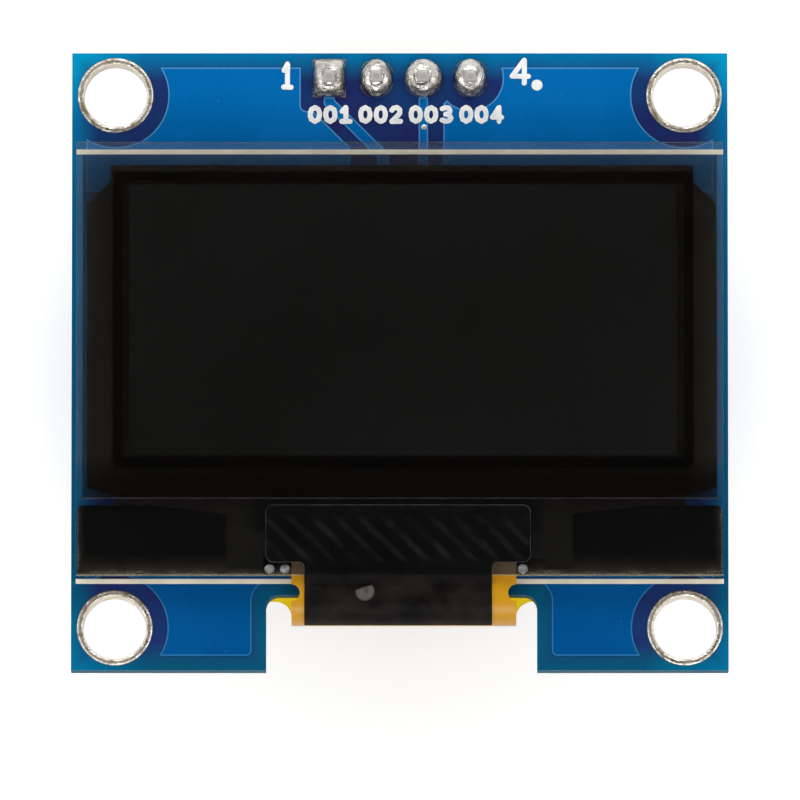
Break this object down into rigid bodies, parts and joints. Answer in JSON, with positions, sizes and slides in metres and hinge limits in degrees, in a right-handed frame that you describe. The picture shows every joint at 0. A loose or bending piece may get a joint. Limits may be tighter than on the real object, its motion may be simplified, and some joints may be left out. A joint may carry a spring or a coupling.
{
  "type": "small oled module",
  "caption": "Square circuit board with a small glass display panel on its face, a folded ribbon in an edge notch, corner holes and a pin header.",
  "frame": {"origin": "centre of the four mounting holes on the board's rear face", "axes": "+Z out of the display, +X to the viewer's right, +Y towards the header edge"},
  "size_m": [0.0354, 0.0336, 0.0121],
  "materials": {
    "solder_mask": "glossy blue solder mask over bare laminate",
    "masked_copper": "glossy blue solder mask over copper",
    "white_ink": "printed ink",
    "header_plastic": "black moulding",
    "black_foam": "black double-sided foam",
    "black_film": "black film",
    "clear_glass": "clear cut glass",
    "sealant": "cured sealant",
    "drying_sheet": "drying sheet",
    "display_layers": "thin metal film behind the light-making layers",
    "polarizer_film": "dark neutral film",
    "silicon": "polished silicon",
    "ledge_resin": "dark resin",
    "amber_film": "amber polyimide film",
    "black_tape": "smooth black tape",
    "clear_glue": "milky clear glue",
    "tinned_copper": "tin on copper",
    "bright_solder": "bright solder",
    "pin_metal": "gold-flashed brass",
    "moulded_epoxy": "black epoxy",
    "tinned_lead": "tinned lead frame",
    "capacitor_ceramic": "tan ceramic with tinned ends",
    "resistor_ceramic": "black film on white ceramic with tinned ends"
  },
  "bodies": {
    "root": {"black_film": "black_film", "cap_glass": "clear_glass", "capacitor_1": "capacitor_ceramic", "capacitor_2": "capacitor_ceramic", "capacitor_3": "capacitor_ceramic", "capacitor_4": "capacitor_ceramic", "capacitor_5": "capacitor_ceramic", "capacitor_6": "capacitor_ceramic", "circuit_board": "solder_mask", "copper_fields": "masked_copper", "driver_chip": "silicon", "drying_sheet": "drying_sheet", "edge_seal": "sealant", "front_glass": "clear_glass", "glue_beads": "clear_glue", "header_body": "header_plastic", "header_pad_1": "tinned_copper", "header_pad_2": "tinned_copper", "header_pad_3": "tinned_copper", "header_pad_4": "tinned_copper", "header_pin_1": "pin_metal", "header_pin_2": "pin_metal", "header_pin_3": "pin_metal", "header_pin_4": "pin_metal", "hole_plating_1": "tinned_copper", "hole_plating_2": "tinned_copper", "hole_plating_3": "tinned_copper", "hole_plating_4": "tinned_copper", "ledge_backing": "black_foam", "ledge_coat": "ledge_resin", "light_layers": "display_layers", "panel_foam": "black_foam", "polarizer": "polarizer_film", "printed_labels": "white_ink", "printed_lines": "white_ink", "printed_numerals": "white_ink", "regulator_body": "moulded_epoxy", "regulator_leads": "tinned_lead", "resistor_1": "resistor_ceramic", "resistor_2": "resistor_ceramic", "resistor_3": "resistor_ceramic", "resistor_4": "resistor_ceramic", "resistor_5": "resistor_ceramic", "resistor_6": "resistor_ceramic", "ribbon": "amber_film", "ribbon_solder": "bright_solder", "shading_tape": "black_tape", "signal_traces": "masked_copper", "solder_joint_1": "bright_solder", "solder_joint_2": "bright_solder", "solder_joint_3": "bright_solder", "solder_joint_4": "bright_solder"}
  },
  "joints": []
}
